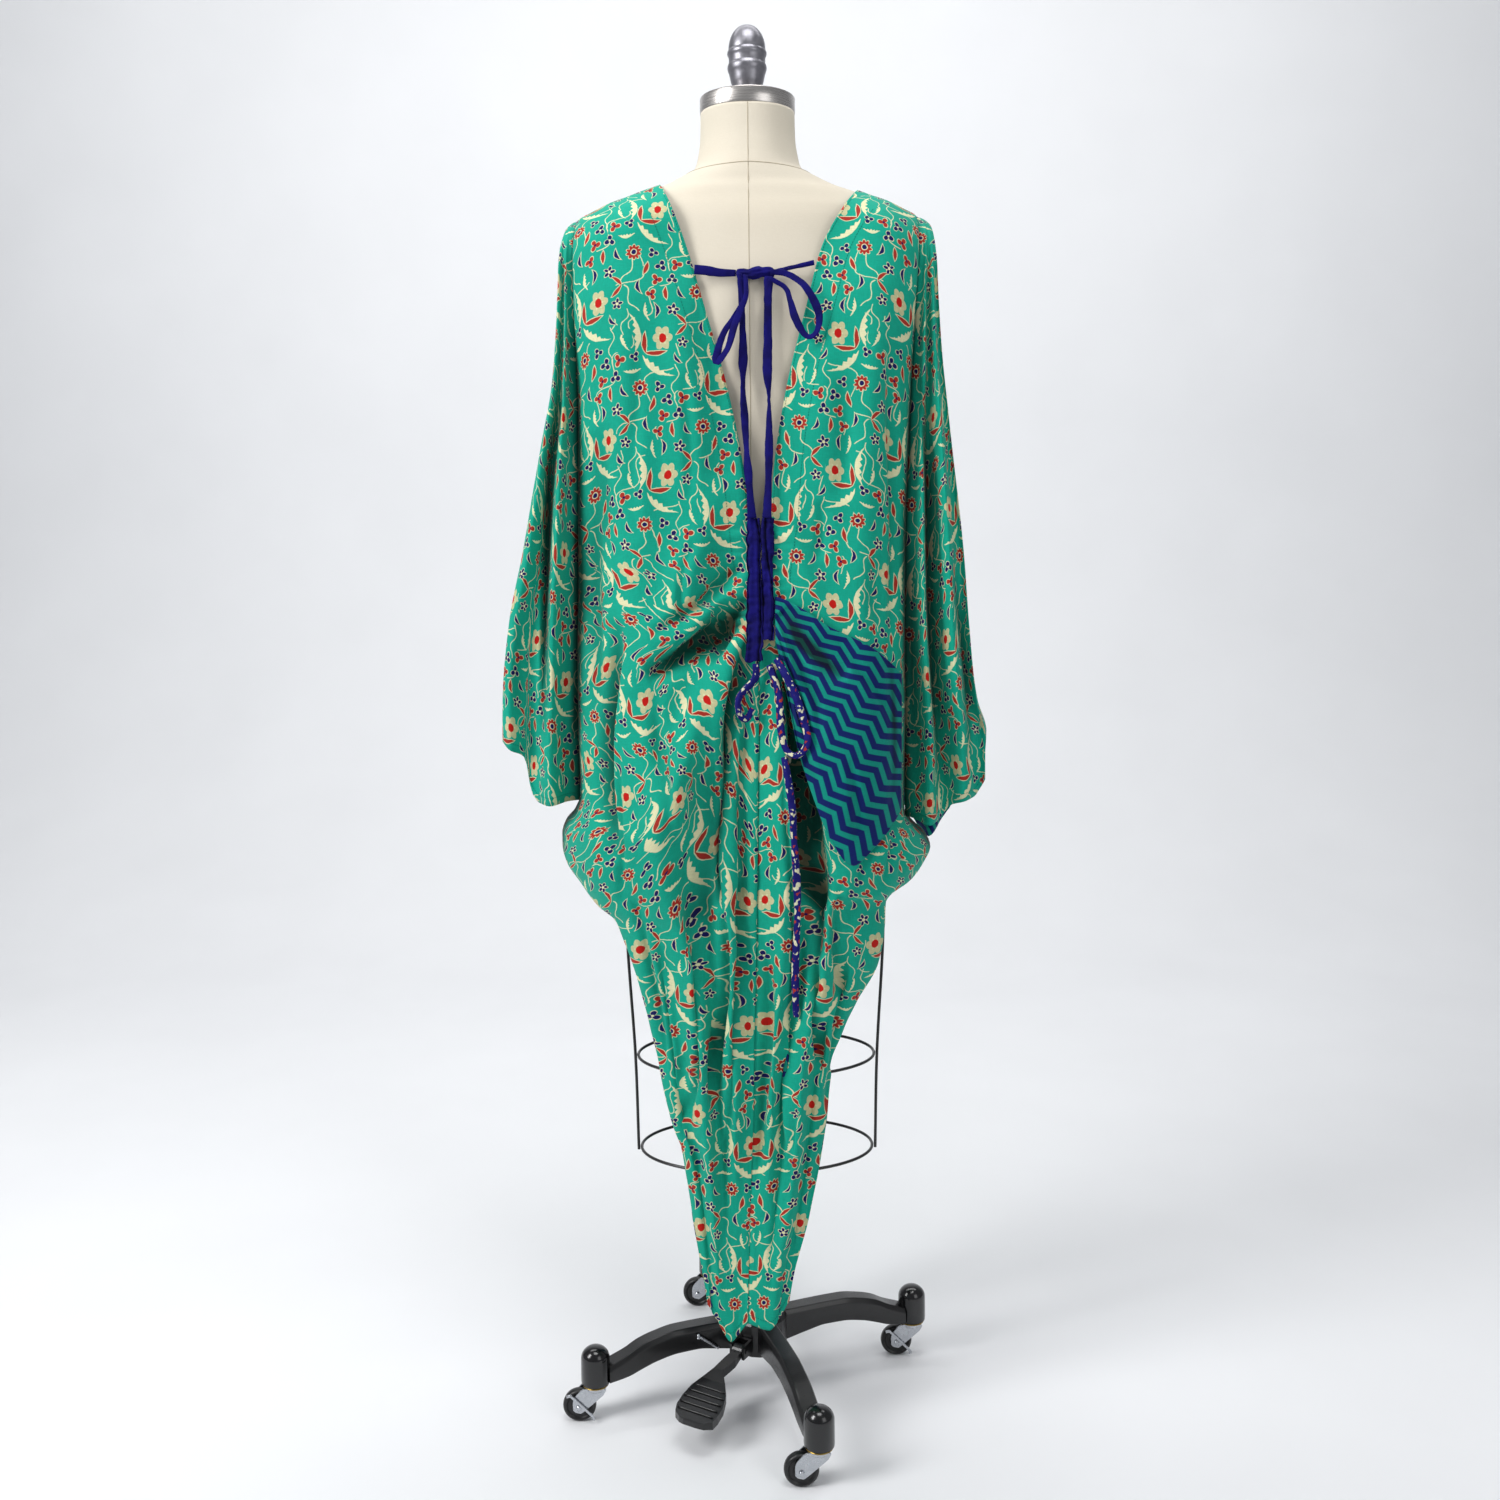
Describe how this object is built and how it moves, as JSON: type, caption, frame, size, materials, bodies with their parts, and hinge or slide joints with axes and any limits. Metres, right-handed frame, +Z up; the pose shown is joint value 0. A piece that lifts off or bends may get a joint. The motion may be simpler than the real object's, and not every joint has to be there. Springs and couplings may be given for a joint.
{
  "type": "kaftan on a dress form",
  "caption": "Batwing kaftan with a tied V back, a gathered drawstring casing, a turned-out swag and a tulip tail, on a limbless dress form with a castor base.",
  "frame": {"origin": "on the floor under the middle of the whole, at the middle of the bounding box's bottom face", "axes": "+Z up; the kaftan's back with the tied V faces -Y; +X is the right-hand side seen from behind"},
  "size_m": [0.569, 0.4344, 1.615],
  "materials": {
    "green_cotton": "soft matte cotton lawn with a small all-over lotus and vine print",
    "zigzag_cotton": "soft matte cotton with navy and teal zigzag stripes",
    "navy_cotton": "matte navy cotton tape",
    "printed_cord": "matte cotton tube cord, navy with a cream and red print",
    "linen": "cream linen, tightly stretched",
    "steel_plate": "brushed round the rim",
    "knob_wood": "silver-grey satin lacquer",
    "black_paint": "satin black enamel",
    "black_iron": "semi-gloss black enamel on a casting",
    "zinc": "bright zinc plate",
    "wheel_rubber": "black rubber tread"
  },
  "bodies": {
    "base": {"hub": "black_iron", "arm_left": "black_iron", "arm_right": "black_iron", "arm_near": "black_iron", "arm_far": "black_iron", "castor_cap_left": "black_iron", "castor_cap_right": "black_iron", "castor_cap_near": "black_iron", "castor_cap_far": "black_iron", "pedal_bracket": "black_iron", "release_lever": "zinc"},
    "mast": {"pole": "black_paint", "torso": "linen", "neck_plate": "steel_plate", "knob": "knob_wood", "cage_ring_high": "black_paint", "cage_ring_low": "black_paint", "cage_wire_1": "black_paint", "cage_wire_2": "black_paint", "cage_wire_3": "black_paint", "cage_wire_4": "black_paint", "cage_wire_5": "black_paint", "cage_wire_6": "black_paint", "back_left": "green_cotton", "back_right": "green_cotton", "front": "green_cotton", "sleeve_left": "green_cotton", "sleeve_right": "green_cotton", "swag_reverse": "zigzag_cotton", "casing_left": "navy_cotton", "casing_right": "navy_cotton", "piping_left": "navy_cotton", "piping_right": "navy_cotton", "tie_knot": "navy_cotton", "tie_strap_left": "navy_cotton", "tie_strap_right": "navy_cotton", "tie_tail_left": "navy_cotton", "tie_tail_right": "navy_cotton", "tie_loop_left": "navy_cotton", "tie_loop_right": "navy_cotton", "cord_loop_left": "printed_cord", "cord_loop_right": "printed_cord", "cord_tail": "printed_cord"},
    "pedal": {"pedal": "black_iron"},
    "fork_left": {"castor_fork_left": "zinc", "brake_lever_left": "zinc"},
    "wheel_left": {"castor_wheel_left": "wheel_rubber"},
    "fork_right": {"castor_fork_right": "zinc", "brake_lever_right": "zinc"},
    "wheel_right": {"castor_wheel_right": "wheel_rubber"},
    "fork_near": {"castor_fork_near": "zinc"},
    "wheel_near": {"castor_wheel_near": "wheel_rubber"},
    "fork_far": {"castor_fork_far": "zinc"},
    "wheel_far": {"castor_wheel_far": "wheel_rubber"}
  },
  "joints": [
    {"name": "mast_lift", "type": "slide", "parent": "base", "child": "mast", "axis": [0, 0, 1], "range_m": [0, 0.25]},
    {"name": "pedal_press", "type": "hinge", "parent": "base", "child": "pedal", "pos_m": [-0.0141, -0.0433, 0.072], "axis": [0.866, -0.5, 0], "range_deg": [0, 12], "stiffness_Nm_per_rad": 1.5, "springref_deg": -17.19},
    {"name": "swivel_left", "type": "hinge", "parent": "base", "child": "fork_left", "pos_m": [-0.18705, -0.0701, 0.044], "axis": [0, 0, 1], "continuous": true},
    {"name": "roll_left", "type": "hinge", "parent": "fork_left", "child": "wheel_left", "pos_m": [-0.20705, -0.0701, 0.02], "axis": [0, 1, 0], "continuous": true},
    {"name": "swivel_right", "type": "hinge", "parent": "base", "child": "fork_right", "pos_m": [0.20885, 0.0701, 0.044], "axis": [0, 0, 1], "continuous": true},
    {"name": "roll_right", "type": "hinge", "parent": "fork_right", "child": "wheel_right", "pos_m": [0.18885, 0.0701, 0.02], "axis": [0, 1, 0], "continuous": true},
    {"name": "swivel_near", "type": "hinge", "parent": "base", "child": "fork_near", "pos_m": [0.07579, -0.19972, 0.044], "axis": [0, 0, 1], "continuous": true},
    {"name": "roll_near", "type": "hinge", "parent": "fork_near", "child": "wheel_near", "pos_m": [0.05579, -0.19972, 0.02], "axis": [0, 1, 0], "continuous": true},
    {"name": "swivel_far", "type": "hinge", "parent": "base", "child": "fork_far", "pos_m": [-0.05399, 0.19972, 0.044], "axis": [0, 0, 1], "continuous": true},
    {"name": "roll_far", "type": "hinge", "parent": "fork_far", "child": "wheel_far", "pos_m": [-0.07399, 0.19972, 0.02], "axis": [0, 1, 0], "continuous": true}
  ]
}
